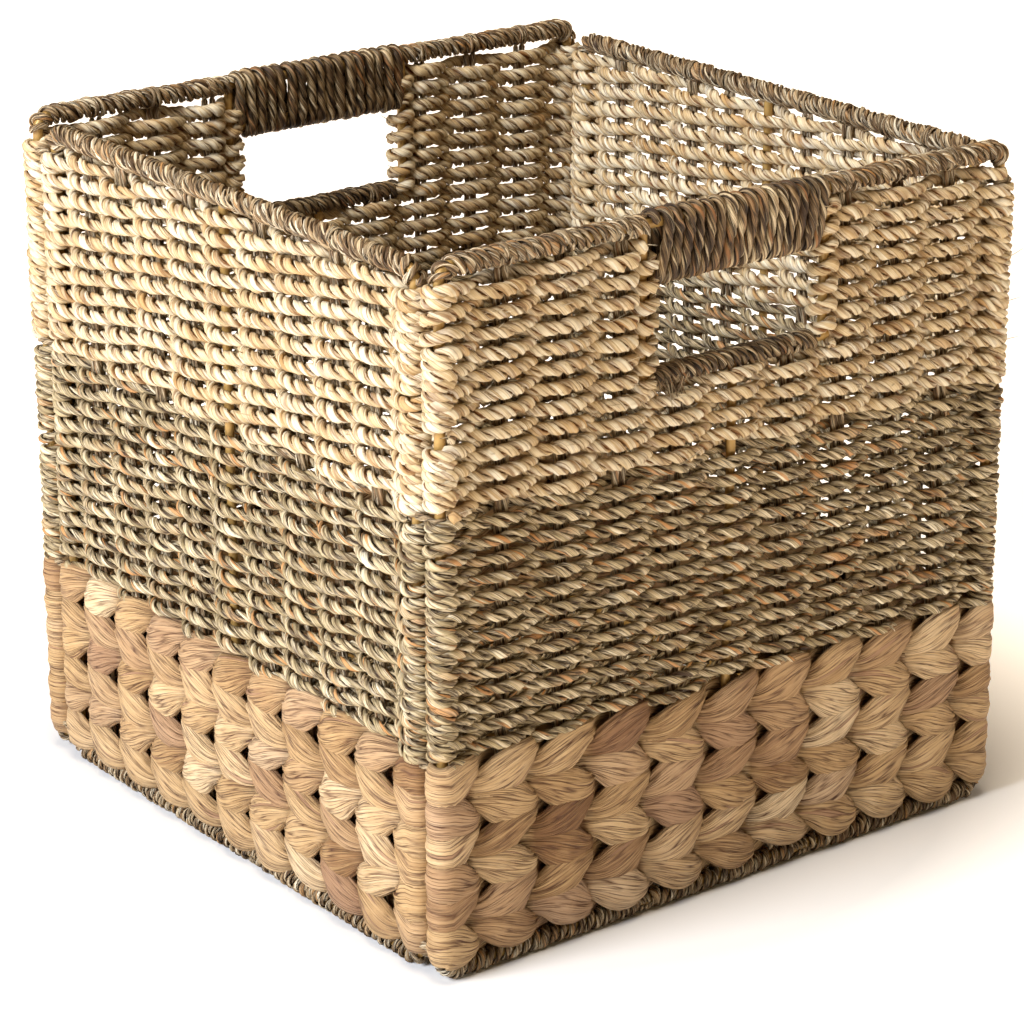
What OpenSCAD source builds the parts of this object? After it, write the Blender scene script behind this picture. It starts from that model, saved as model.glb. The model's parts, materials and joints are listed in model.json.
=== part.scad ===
// Open storage basket: four wire-framed woven wall panels laced at the corners, and a lift-up base.
// The frame: +Z up, origin on the floor under the middle, handle panels facing -Y and +Y.

/* [Overall] */
// Outside width over the wrapped rails, along the handle panels
width = 305; // [250:1:370]
// Outside depth over the wrapped rails, from handle panel to handle panel
depth = 305; // [250:1:370]
// Height of the handle panels over their wrapped top rails
height = 305; // [250:1:370]
// How much lower the side panels' top rails sit
side_drop = 4; // [0:1:12]

/* [Wire frame] */
// Diameter of the painted wire round each panel
wire_d = 4.5; // [4:0.5:5]
// Diameter of the upright wires inside a panel
upright_d = 4; // [3:0.5:4]
// Bend radius of a panel's corners, at the wire's centre
bend_r = 6; // [6:0.5:10]
// Outside diameter of a rail with its wrapping
rail_d = 9; // [8.5:0.5:11]
// How far the bottom wraps are pressed flat where they stand
foot_flat = 0.3; // [0.2:0.1:0.5]

/* [Weave] */
// Height of the top of the thick plaited band
hyacinth_top = 94; // [60:1:110]
// Height of the top of the middle band
seagrass_top = 199; // [140:1:210]
// Thickness of the top band's weave
husk_thick = 11; // [9:0.5:13]
// Thickness of the middle band's weave
seagrass_thick = 10.5; // [9:0.5:13]
// Thickness of the plaited band
hyacinth_thick = 14; // [11:0.5:18]
// Number of uprights the weave passes round in each panel
stake_count = 9; // [7:2:11]
// Diameter of one of the two cords in an upright stake
strand_d = 3.5; // [3:0.1:3.8]
// Least room left between a stake and the upright beside a hand hole
stake_room = 1.5; // [0.5:0.5:4]

/* [Hand holes] */
// Clear width of a hand hole
hole_w = 86; // [70:1:104]
// Clear height of a hand hole
hole_h = 34; // [25:1:42]
// Height of the wrapped grip above a hand hole
grip_h = 31; // [26:1:38]
// Thickness of the wrapped grip
grip_d = 11; // [10:0.5:12]
// How far the grip's flats lie inside its rounds
grip_dish = 0.7; // [0.3:0.1:1.5]
// How far a hand hole's two wires run past its uprights
rail_overrun = 0.4; // [0.2:0.1:1]

/* [Corner ties] */
// Thickness of the cord in a tie
tie_t = 2; // [1.5:0.1:2.5]
// Height of a tie
tie_h = 3; // [2:0.5:4]
// Gap between a side panel's edge and the handle panel's weave
corner_gap = 1; // [0.5:0.1:3]

/* [Base] */
// Thickness of the woven base mat
mat_thick = 9; // [7:0.5:9]
// Gap round the base when it lies flat
base_gap = 3; // [2:0.5:6]
// Width of a hinge loop or sling along its rail
loop_w = 8; // [6:0.5:10]
// Thickness of a sling's tongue under the base
tongue_h = 5; // [3:0.5:6]
// How much lower the tongue's top lies than the top of its loop
tongue_drop = 0.4; // [0.2:0.1:1]

/* [Fits] */
// Radial room between a wire and what is wound round it
wire_fit = 0.1; // [0.05:0.05:0.2]
// Radial running room of the base's rear rod in its loops
hinge_fit = 0.08; // [0.04:0.01:0.1]
// Gap between neighbouring bands, wraps and stakes
weave_gap = 0.3; // [0.2:0.1:0.5]
// Gap between the two cords of a stake
strand_gap = 0.2; // [0.1:0.1:0.5]
// Gap under the resting base
rest_gap = 0.3; // [0.2:0.1:0.5]
// Gap between the floor and the loops round the bottom wires
floor_gap = 0.05; // [0.02:0.01:0.2]

/* [Hidden] */
$fn = 48;
BIG = 1000;
ring_step = 15;                         // degrees between the points of a tie's round ends

wire_colour = "goldenrod";
husk_colour = "wheat";
seagrass_colour = "darkkhaki";
hyacinth_colour = "burlywood";
cord_colour = "tan";
grip_colour = "darkolivegreen";

rail_r = rail_d / 2;
foot_z = rail_r - foot_flat;            // height of the bottom wires
corner_keep = max(rail_r, bend_r) + weave_gap;
thickest = max(husk_thick, seagrass_thick, hyacinth_thick);
wall_y = depth / 2 - rail_r;            // middle of a handle panel's thickness
wall_x = width / 2 - rail_r;            // middle of a side panel's thickness
inner_y = wall_y - thickest / 2;
inner_x = wall_x - thickest / 2;
side_h = height - side_drop;
side_l = 2 * (inner_y - corner_gap) - (thickest - rail_d);
pitch = stake_pitch(width);
side_pitch = stake_pitch(side_l);

// Hand hole, from the top down: grip, opening, wrapped rail
hole_post_x = hole_w / 2 + husk_thick / 2;
grip_half = hole_post_x - upright_d / 2 - weave_gap;
grip_top_z = height - rail_r + grip_d / 2;
hole_top_z = grip_top_z - grip_h;
grip_rail_z = hole_top_z + grip_d / 2;
hole_rail_z = hole_top_z - hole_h - rail_r;

// Stakes: a pair of cords side by side
pair_w = 2 * strand_d + strand_gap;
stake_keep = pair_w / 2 + upright_d / 2 + stake_room;

// Loops round the bottom wires, and the base that rests on the slings
loop_r = foot_z - floor_gap;
link_t = 1.2 * loop_r;                  // thickness of the link between a hinge loop's two eyes
tongue_top = foot_z + loop_r - tongue_drop;
base_z = tongue_top + rest_gap + rail_r;
base_half_x = inner_x - base_gap;
base_half_y = inner_y - base_gap;
rod_x = base_half_x - rail_r;
rod_y = base_half_y - rail_r;
hinge_xs = [-2.5 * pitch, -0.5 * pitch, 0.5 * pitch, 2.5 * pitch];
sling_xs = [-1.5 * pitch, 1.5 * pitch];
side_sling_x = 0.5 * side_pitch;
tongue_l = thickest / 2 + base_gap + rail_d;

// Ties round the two posts at each corner
tie_r = wire_d / 2 + wire_fit + tie_t;
tie_low = foot_z + corner_keep + tie_h;
tie_high = side_h - rail_r - corner_keep - tie_h;
tie_zs = [tie_low, hyacinth_top, seagrass_top, tie_high];
side_post_y = side_l / 2 - rail_r;

function stake_pitch(l) = (l - rail_d) / (stake_count + 1);
function stake_ks() = [for (k = [1 : (stake_count - 1) / 2]) each [-k, k]];
// Where stake k stands: evenly spread, but never against the upright beside a hand hole
function stake_x(k, p, hole) =
    hole && abs(abs(k * p) - hole_post_x) < stake_keep ? sign(k) * (hole_post_x + stake_keep) : k * p;
function stake_top(x, h, hole) =
    (hole && abs(x) < hole_post_x ? hole_rail_z : h - rail_r) - wire_d / 2 - weave_gap;
function stake_foot() = foot_z + wire_d / 2 + weave_gap;

// ---- placing: a panel is drawn standing in XZ with its outer face towards -Y ----

module at_front() { translate([0, -wall_y, 0]) children(); }
module at_back() { rotate([0, 0, 180]) translate([0, -wall_y, 0]) children(); }
module at_left() { rotate([0, 0, -90]) translate([0, -wall_x, 0]) children(); }
module at_right() { rotate([0, 0, 90]) translate([0, -wall_x, 0]) children(); }

module rod_x_at(z, half, d) {
    translate([-half, 0, z]) rotate([0, 90, 0]) cylinder(h = 2 * half, d = d);
}

module block(low, high) { translate(low) cube(high - low); }

// ---- wires ----

// A quarter bend in the XZ plane that turns from the +X direction up to +Z
module bend(d) {
    rotate([90, 0, 0]) rotate([0, 0, -90])
        rotate_extrude(angle = 90) translate([bend_r, 0]) circle(d = d);
}

// One rail with the bends at its two ends; up = true for a bottom rail, whose bends turn upwards
module bent_rail(l, z, d, up) {
    mirror([0, 0, up ? 0 : 1]) translate([0, 0, up ? z : -z]) {
        rod_x_at(0, l / 2 - rail_r - bend_r, d);
        for (s = [0, 1]) mirror([s, 0, 0]) translate([l / 2 - rail_r - bend_r, 0, bend_r]) bend(d);
    }
}

module posts(l, h, d) {
    for (s = [-1, 1]) translate([s * (l / 2 - rail_r), 0, foot_z + bend_r])
        cylinder(h = h - rail_r - foot_z - 2 * bend_r, d = d);
}

// All the wires of a panel, grown by a clearance where something else is cut to take them
module panel_wires(l, h, hole, grow) {
    top = h - rail_r;
    bent_rail(l, foot_z, wire_d + 2 * grow, true);
    bent_rail(l, top, wire_d + 2 * grow, false);
    posts(l, h, wire_d + 2 * grow);
    translate([0, 0, foot_z]) cylinder(h = (hole ? hole_rail_z : top) - foot_z, d = upright_d + 2 * grow);
    if (hole) {
        for (z = [hole_rail_z, grip_rail_z])
            rod_x_at(z, hole_post_x + upright_d / 2 + rail_overrun, wire_d + 2 * grow);
        for (s = [-1, 1]) translate([s * hole_post_x, 0, hole_rail_z])
            cylinder(h = top - hole_rail_z, d = upright_d + 2 * grow);
    }
}

// ---- stakes ----

module stakes(l, h, hole) {
    for (k = stake_ks(), s = [-1, 1]) {
        x = stake_x(k, stake_pitch(l), hole);
        translate([x + s * (strand_d + strand_gap) / 2, 0, stake_foot()])
            cylinder(h = stake_top(x, h, hole) - stake_foot(), d = strand_d);
    }
}

module stake_slots(l, h, hole) {
    for (k = stake_ks()) {
        x = stake_x(k, stake_pitch(l), hole);
        w = pair_w / 2 + wire_fit;
        t = strand_d / 2 + wire_fit;
        block([x - w, -t, stake_foot() - wire_fit], [x + w, t, stake_top(x, h, hole) + wire_fit]);
    }
}

// ---- wraps ----

module top_wrap(l, h, hole) {
    difference() {
        bent_rail(l, h - rail_r, rail_d, false);
        panel_wires(l, h, hole, wire_fit);
        stake_slots(l, h, hole);
        if (hole) block([-grip_half - weave_gap, -BIG, 0], [grip_half + weave_gap, BIG, BIG]);
    }
}

// A bottom wrap, open where the loops of the base go round the bare wire
module bottom_wrap(l, h, hole, loop_xs) {
    difference() {
        bent_rail(l, foot_z, rail_d, true);
        panel_wires(l, h, hole, wire_fit);
        stake_slots(l, h, hole);
        block([-BIG, -BIG, -BIG], [BIG, BIG, 0]);
        for (x = loop_xs)
            block([x - loop_w / 2 - weave_gap, -BIG, -BIG], [x + loop_w / 2 + weave_gap, BIG, BIG]);
    }
}

module grip_wrap() {
    web = grip_d / 2 - grip_dish;
    difference() {
        union() {
            rod_x_at(height - rail_r, grip_half, grip_d);
            rod_x_at(grip_rail_z, grip_half, grip_d);
            block([-grip_half, -web, grip_rail_z], [grip_half, web, height - rail_r]);
        }
        panel_wires(width, height, true, wire_fit);
    }
}

module hole_wrap() {
    difference() {
        rod_x_at(hole_rail_z, grip_half, rail_d);
        panel_wires(width, height, true, wire_fit);
        stake_slots(width, height, true);
    }
}

// ---- woven bands ----

// A band's body: its edges stand as far outside the panel's ends as its faces do, and are bevelled
module slab(l, z0, z1, thick) {
    e = l / 2 + (thick - rail_d) / 2;
    t = thick / 2;
    c = thick / 3;
    translate([0, 0, z0]) linear_extrude(z1 - z0) polygon([
        [-e, c - t], [c - e, -t], [e - c, -t], [e, c - t],
        [e, t - c], [e - c, t], [c - e, t], [-e, t - c]
    ]);
}

module hand_hole_cut() {
    keep = grip_half + weave_gap;
    block([-hole_w / 2, -BIG, hole_rail_z], [hole_w / 2, BIG, BIG]);
    block([-keep, -BIG, hole_top_z - weave_gap], [keep, BIG, BIG]);
    block([-keep, -BIG, hole_rail_z - rail_r - weave_gap], [keep, BIG, hole_rail_z + rail_r + weave_gap]);
}

// Room in a band's two edges for the corner ties; across = true in a handle panel
module tie_slots(l, across) {
    r = tie_r + weave_gap;
    t = tie_h / 2 + weave_gap;
    for (z = tie_zs, s = [0, 1]) mirror([s, 0, 0]) translate([l / 2 - rail_r, 0, z])
        block([-r, -r, -t], [across ? r : BIG, across ? BIG : r, t]);
}

module band(l, h, hole, z0, z1, thick) {
    difference() {
        slab(l, z0, z1, thick);
        panel_wires(l, h, hole, wire_fit);
        stake_slots(l, h, hole);
        tie_slots(l, hole);
        if (hole) hand_hole_cut();
    }
}

module husk_band(l, h, hole) {
    band(l, h, hole, seagrass_top + weave_gap / 2, h - rail_r - corner_keep, husk_thick);
}

module seagrass_band(l, h, hole) {
    band(l, h, hole, hyacinth_top + weave_gap / 2, seagrass_top - weave_gap / 2, seagrass_thick);
}

module hyacinth_band(l, h, hole) {
    band(l, h, hole, foot_z + corner_keep, hyacinth_top - weave_gap / 2, hyacinth_thick);
}

// ---- corner ties ----

// The long ring of cord round a handle panel's post and a side panel's post, with rounded ends
module tie(gap_y) {
    function ring(r) = concat(
        [for (a = [180 : ring_step : 360]) [r * cos(a), r * sin(a)]],
        [for (a = [0 : ring_step : 180]) [r * cos(a), gap_y + r * sin(a)]]
    );
    linear_extrude(tie_h, center = true) difference() {
        polygon(ring(tie_r));
        polygon(ring(wire_d / 2 + wire_fit));
    }
}

module corner_ties(sx, sy) {
    for (z = tie_zs) translate([sx * wall_x, 0, z]) mirror([0, sy > 0 ? 1 : 0, 0])
        translate([0, -wall_y, 0]) tie(wall_y - side_post_y);
}

// ---- loops that carry the base ----

module eye_at(x, r) { translate([x, 0, -loop_w / 2]) cylinder(h = loop_w, r = r); }
module eye_bore_at(x, fit) { translate([x, 0, -loop_w]) cylinder(h = 2 * loop_w, d = wire_d + 2 * fit); }

// A figure of eight of cord: one eye round the back panel's wire, one round the base's rear rod
module hinge_loop() {
    dy = rod_y - wall_y;
    dz = base_z - foot_z;
    span = sqrt(dy * dy + dz * dz);
    translate([0, wall_y, foot_z]) rotate([90, 0, 90]) rotate([0, 0, atan2(dz, dy)]) difference() {
        union() {
            eye_at(0, loop_r);
            eye_at(span, loop_r);
            block([0, -link_t / 2, -loop_w / 2], [span, link_t / 2, loop_w / 2]);
        }
        eye_bore_at(0, wire_fit);
        eye_bore_at(span, hinge_fit);
    }
}

// The band of a panel has a notch over each hinge loop
module hinge_notches() {
    w = loop_w / 2 + weave_gap;
    top = base_z + loop_r + weave_gap;
    for (x = hinge_xs) block([x - w, -BIG, -BIG], [x + w, wall_y + loop_r + weave_gap, top]);
}

// A stirrup of cord: an eye round a panel's bottom wire, with a tongue that reaches under the base
module sling(x) {
    difference() {
        union() {
            translate([x, 0, foot_z]) rotate([0, 90, 0]) eye_at(0, loop_r);
            block([x - loop_w / 2, 0, tongue_top - tongue_h], [x + loop_w / 2, tongue_l, tongue_top]);
        }
        translate([x, 0, foot_z]) rotate([0, 90, 0]) eye_bore_at(0, wire_fit);
    }
}

// ---- base ----

module flat_bend(d) { rotate_extrude(angle = 90) translate([bend_r, 0]) circle(d = d); }

// The base's two long rods, each with the bends at its ends
module base_rails(d) {
    for (t = [0, 1]) mirror([0, t, 0]) translate([0, rod_y, base_z]) {
        rod_x_at(0, rod_x - bend_r, d);
        for (s = [0, 1]) mirror([s, 0, 0]) translate([rod_x - bend_r, -bend_r, 0]) flat_bend(d);
    }
}

module rod_y_at(x, half, d) {
    translate([x, -half, base_z]) rotate([-90, 0, 0]) cylinder(h = 2 * half, d = d);
}

module base_wires(grow) {
    base_rails(wire_d + 2 * grow);
    for (s = [-1, 1]) rod_y_at(s * rod_x, rod_y - bend_r, wire_d + 2 * grow);
    rod_y_at(0, rod_y, upright_d + 2 * grow);
}

base_stake_half = rod_y - wire_d / 2 - weave_gap;

module base_stake_slots() {
    w = pair_w / 2 + wire_fit;
    t = strand_d / 2 + wire_fit;
    y = base_stake_half + wire_fit;
    for (k = stake_ks()) block([k * pitch - w, -y, base_z - t], [k * pitch + w, y, base_z + t]);
}

// ---- sub-parts ----

module front_frame() { color(wire_colour) at_front() panel_wires(width, height, true, 0); }
module front_stakes() { color(cord_colour) at_front() stakes(width, height, true); }
module front_top_wrap() { color(cord_colour) at_front() top_wrap(width, height, true); }
module front_bottom_wrap() { color(cord_colour) at_front() bottom_wrap(width, height, true, sling_xs); }
module front_grip_wrap() { color(grip_colour) at_front() grip_wrap(); }
module front_hole_wrap() { color(grip_colour) at_front() hole_wrap(); }
module front_husk_band() { color(husk_colour) at_front() husk_band(width, height, true); }
module front_seagrass_band() { color(seagrass_colour) at_front() seagrass_band(width, height, true); }
module front_hyacinth_band() { color(hyacinth_colour) at_front() hyacinth_band(width, height, true); }

module back_frame() { color(wire_colour) at_back() panel_wires(width, height, true, 0); }
module back_stakes() { color(cord_colour) at_back() stakes(width, height, true); }
module back_top_wrap() { color(cord_colour) at_back() top_wrap(width, height, true); }
module back_bottom_wrap() { color(cord_colour) at_back() bottom_wrap(width, height, true, hinge_xs); }
module back_grip_wrap() { color(grip_colour) at_back() grip_wrap(); }
module back_hole_wrap() { color(grip_colour) at_back() hole_wrap(); }
module back_husk_band() { color(husk_colour) at_back() husk_band(width, height, true); }
module back_seagrass_band() { color(seagrass_colour) at_back() seagrass_band(width, height, true); }
module back_hyacinth_band() {
    color(hyacinth_colour) difference() {
        at_back() hyacinth_band(width, height, true);
        hinge_notches();
    }
}

module left_frame() { color(wire_colour) at_left() panel_wires(side_l, side_h, false, 0); }
module left_stakes() { color(cord_colour) at_left() stakes(side_l, side_h, false); }
module left_top_wrap() { color(cord_colour) at_left() top_wrap(side_l, side_h, false); }
module left_bottom_wrap() { color(cord_colour) at_left() bottom_wrap(side_l, side_h, false, [side_sling_x]); }
module left_husk_band() { color(husk_colour) at_left() husk_band(side_l, side_h, false); }
module left_seagrass_band() { color(seagrass_colour) at_left() seagrass_band(side_l, side_h, false); }
module left_hyacinth_band() { color(hyacinth_colour) at_left() hyacinth_band(side_l, side_h, false); }

module right_frame() { color(wire_colour) at_right() panel_wires(side_l, side_h, false, 0); }
module right_stakes() { color(cord_colour) at_right() stakes(side_l, side_h, false); }
module right_top_wrap() { color(cord_colour) at_right() top_wrap(side_l, side_h, false); }
module right_bottom_wrap() { color(cord_colour) at_right() bottom_wrap(side_l, side_h, false, [-side_sling_x]); }
module right_husk_band() { color(husk_colour) at_right() husk_band(side_l, side_h, false); }
module right_seagrass_band() { color(seagrass_colour) at_right() seagrass_band(side_l, side_h, false); }
module right_hyacinth_band() { color(hyacinth_colour) at_right() hyacinth_band(side_l, side_h, false); }

module front_left_ties() { color(cord_colour) corner_ties(-1, -1); }
module front_right_ties() { color(cord_colour) corner_ties(1, -1); }
module back_left_ties() { color(cord_colour) corner_ties(-1, 1); }
module back_right_ties() { color(cord_colour) corner_ties(1, 1); }

module base_hinge_loops() { color(cord_colour) for (x = hinge_xs) translate([x, 0, 0]) hinge_loop(); }
module base_slings() {
    color(cord_colour) {
        at_front() for (x = sling_xs) sling(x);
        at_left() sling(side_sling_x);
        at_right() sling(-side_sling_x);
    }
}
module base_frame() { color(wire_colour) base_wires(0); }
module base_stakes() {
    color(cord_colour) for (k = stake_ks(), s = [-1, 1])
        rod_y_at(k * pitch + s * (strand_d + strand_gap) / 2, base_stake_half, strand_d);
}
module base_rim_wrap() {
    color(cord_colour) difference() {
        base_rails(rail_d);
        base_wires(wire_fit);
        base_stake_slots();
        for (x = hinge_xs)
            block([x - loop_w / 2 - weave_gap, 0, 0], [x + loop_w / 2 + weave_gap, BIG, BIG]);
    }
}
module base_mat() {
    y = rod_y - corner_keep;
    t = mat_thick / 2;
    color(seagrass_colour) difference() {
        block([-base_half_x, -y, base_z - t], [base_half_x, y, base_z + t]);
        base_wires(wire_fit);
        base_stake_slots();
    }
}

front_frame();
front_stakes();
front_top_wrap();
front_bottom_wrap();
front_grip_wrap();
front_hole_wrap();
front_husk_band();
front_seagrass_band();
front_hyacinth_band();
back_frame();
back_stakes();
back_top_wrap();
back_bottom_wrap();
back_grip_wrap();
back_hole_wrap();
back_husk_band();
back_seagrass_band();
back_hyacinth_band();
left_frame();
left_stakes();
left_top_wrap();
left_bottom_wrap();
left_husk_band();
left_seagrass_band();
left_hyacinth_band();
right_frame();
right_stakes();
right_top_wrap();
right_bottom_wrap();
right_husk_band();
right_seagrass_band();
right_hyacinth_band();
front_left_ties();
front_right_ties();
back_left_ties();
back_right_ties();
base_hinge_loops();
base_slings();
base_frame();
base_stakes();
base_rim_wrap();
base_mat();
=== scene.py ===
"""Square storage basket of corn husk, seagrass and water hyacinth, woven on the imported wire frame.

Every rope, strand and wrap is built as mesh in millimetres in the CAD frame and scaled to metres last.
A panel is laid out in its own coordinates, as in the CAD: x along the panel, y inwards, z up.
"""

import json
import math
import zlib

import bpy
import numpy as np
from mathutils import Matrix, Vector

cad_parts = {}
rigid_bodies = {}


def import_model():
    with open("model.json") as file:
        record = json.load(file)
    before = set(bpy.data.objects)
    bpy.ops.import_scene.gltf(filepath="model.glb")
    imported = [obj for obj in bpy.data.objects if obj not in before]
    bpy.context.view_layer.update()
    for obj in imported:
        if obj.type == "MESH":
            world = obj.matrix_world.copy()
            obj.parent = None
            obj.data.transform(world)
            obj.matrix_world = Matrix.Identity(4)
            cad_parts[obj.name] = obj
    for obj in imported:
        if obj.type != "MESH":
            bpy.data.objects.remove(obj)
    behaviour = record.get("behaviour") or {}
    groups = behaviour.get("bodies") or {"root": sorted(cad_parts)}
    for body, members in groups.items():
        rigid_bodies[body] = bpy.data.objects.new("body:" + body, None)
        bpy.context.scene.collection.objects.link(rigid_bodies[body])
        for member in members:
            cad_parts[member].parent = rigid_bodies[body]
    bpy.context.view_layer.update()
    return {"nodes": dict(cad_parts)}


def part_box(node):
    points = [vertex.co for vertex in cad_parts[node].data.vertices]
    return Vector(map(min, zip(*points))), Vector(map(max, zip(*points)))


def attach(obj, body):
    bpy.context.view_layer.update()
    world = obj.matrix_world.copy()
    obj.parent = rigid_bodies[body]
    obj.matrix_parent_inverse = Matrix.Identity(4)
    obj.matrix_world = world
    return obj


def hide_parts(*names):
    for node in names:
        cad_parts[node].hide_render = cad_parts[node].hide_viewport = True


MM = 0.001
TAU = 2 * math.pi
UP = np.array([0.0, 0.0, 1.0])
FLOOR_GAP = 0.02            # mm; nothing goes lower than this

# The camera, in the CAD frame
CAMERA_PLACE = (-0.9130, -1.1890, 0.6790)
CAMERA_AZIMUTH = 37.54      # degrees from +Y towards +X
CAMERA_DOWN = 20.25
CAMERA_LENS = 125.4
CAMERA_SENSOR = 36

# The frame's own sizes, in mm
WIRE_R = 2.25
UPRIGHT_R = 2.0
CORD_R = 1.75               # one of the two cords in a stake
CORD_APART = 3.7
STAKE_COUNT = 9             # with the middle upright, which is a wire
STAKE_STEPS = range(-(STAKE_COUNT // 2), STAKE_COUNT // 2 + 1)
RAIL_R = 4.5
BEND_R = 6.0
HOLE_POST = 48.5            # the uprights beside a hand hole
LOOP_W = 8.0                # bare wire taken up by a hinge loop or a sling

# The ropes of the plain weaves, in mm. lay: length of one twist; pitch: distance between rows; swell:
# how much fatter a rope is where it passes an upright; step: length of a mesh ring; wide, crease: width
# of a ply and depth of its folds, in radii; tight: chance of an extra turn round an end post; stray:
# loose fibres
HUSK = {"radius": 2.7, "lay": 14.0, "pitch": 4.13, "swell": 0.2, "step": 1.35, "wide": 0.82,
        "crease": 0.2, "tight": 0.9, "stray": 110}
SEAGRASS = {"radius": 2.4, "lay": 18.0, "pitch": 3.88, "swell": 0.22, "step": 1.6, "wide": 0.74,
            "crease": 0.3, "tight": 0.9, "stray": 90}
MAT = {"radius": 2.5, "lay": 18.0, "pitch": 5.2, "swell": 0.1, "step": 2.0}

# The plait of water hyacinth
PLAIT_PITCH = 14.0
PLAIT_RISE = 4.3            # how far a strand climbs or drops between two uprights
STEM_SIDES = 36
STEM_GIRTH = 42.0
STEM_RIDGES = ((5, 0.16), (8, 0.2), (11, 0.24), (14, 0.2), (17, 0.12))      # count, height
TURN_POINTS = 12            # points in a strand's turn round an end post
SEAM_AT = 44                # points past a turn at which a row's loop is closed
SEAM_LAP = 9                # points over which its ends lie in each other

# The cords and strands of the other pieces, with rope's own arguments
STAKE_ROPE = {"radius": CORD_R, "lay": 34, "plies": 3, "sides": 6, "loose": 0.2, "off": 0.45,
              "thick": 0.42, "wide": 0.6}
FOLD_ROPE = {"radius": 1.2, "lay": 22, "sides": 6, "shape": (1.0, 0.6), "loose": 0.2}
RAIL_ROPE = {"radius": 2.1, "lay": 16, "plies": 3, "sides": 6, "step": 1.25, "shape": (0.96, 0.72),
             "off": 0.46, "thick": 0.44, "wide": 0.54, "loose": 0.35, "crease": 0.35}
RIM_ROPE = {"radius": 2.1, "lay": 17, "plies": 3, "sides": 6, "step": 1.5, "shape": (1.0, 0.55),
            "off": 0.5, "thick": 0.42, "wide": 0.5, "loose": 0.2}
GRIP_ROPE = {"radius": 2.8, "lay": 24, "plies": 3, "sides": 7, "step": 1.3, "shape": (1.0, 0.82),
             "off": 0.47, "thick": 0.46, "wide": 0.6, "loose": 0.2, "crease": 0.25}
RING_ROPE = {"lay": 12, "sides": 6, "step": 1.1, "loose": 0.12}
LOOP_ROPE = {"radius": 1.1, "lay": 10, "sides": 6, "step": 1.1, "shape": (1, 0.85)}
BIGHT_ROPE = {"radius": 1.5, "lay": 9, "step": 1.1, "loose": 0.14}
COIL_PITCH = 8.2            # of the strands wound round a rail
COIL_LIFT = 1.15            # from the wire's surface to a strand's middle
GRIP_LOOPS = 17
TIE_HEIGHTS = (94.0, 199.0)     # the tops of the hyacinth and seagrass bands
SLING_REACH = 17.0

# Area lights: name, place, target, size, power, colour
LIGHTS = (
    ("key", (-1.9, -0.06, 1.15), (0, 0, 0.15), 0.8, 64, (0.94, 0.985, 1.07)),
    ("top", (-0.3, -0.3, 2.3), (0, 0, 0.1), 1.0, 30, (1.0, 0.86, 0.67)),
    ("warm_fill", (0.5, -2.0, 0.7), (0, 0, 0.15), 1.0, 3, (1.0, 0.72, 0.40)),
)
WORLD_FILL = ((1.0, 0.76, 0.46, 1), 0.05)
FLOOR_SIZE = 14
FLOOR_GLOW = (1.0, 0.85, 0.70, 1)
# Where the floor's glow starts, in metres from the middle, and how fast it rises; then a slower rise
GLOW_START, GLOW_SLOPE = 0.2, 8.0
FAR_SLOPE, FAR_START, FAR_MOST = 0.5, 0.4, 2.0

PANELS = ("front", "back", "left", "right")
CORNERS = ("front_left", "front_right", "back_left", "back_right")
SLOTS = {"husk": "corn_husk", "seagrass": "seagrass"}


# ---- small number helpers ----

def seeded(*words):
    """A random generator that depends only on the words given."""
    return np.random.default_rng(zlib.crc32(" ".join(map(str, words)).encode()))


def smooth(t):
    """A soft step from 0 to 1."""
    t = np.clip(t, 0.0, 1.0)
    return t * t * (3 - 2 * t)


def wander(s, length, rng):
    """Smooth random values, about -1 to 1, that change over the given length."""
    knots = rng.normal(0, 0.6, int(s[-1] / length) + 4)
    at = s / length
    i = at.astype(int)
    f = smooth(at - i)
    return knots[i] * (1 - f) + knots[i + 1] * f


def lengths(path):
    """How far along the path each of its points is."""
    steps = np.linalg.norm(np.diff(path, axis=0), axis=1)
    return np.concatenate([[0.0], np.cumsum(steps)])


def resample(path, step, *extras):
    """The path at even steps, with any values that go with its points."""
    s = lengths(path)
    count = max(4, int(round(s[-1] / step)) + 1)
    even = np.linspace(0, s[-1], count)
    return even, [np.stack([np.interp(even, s, column) for column in a.T], 1) for a in (path, *extras)]


def unit(v):
    """Each row of v at length 1."""
    return v / np.maximum(np.linalg.norm(v, axis=1, keepdims=True), 1e-9)


def box_mm(node):
    """The low and high corner of a CAD node's box, in mm."""
    low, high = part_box(node)
    return np.array(low) / MM, np.array(high) / MM


# ---- collecting a piece's mesh ----

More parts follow.
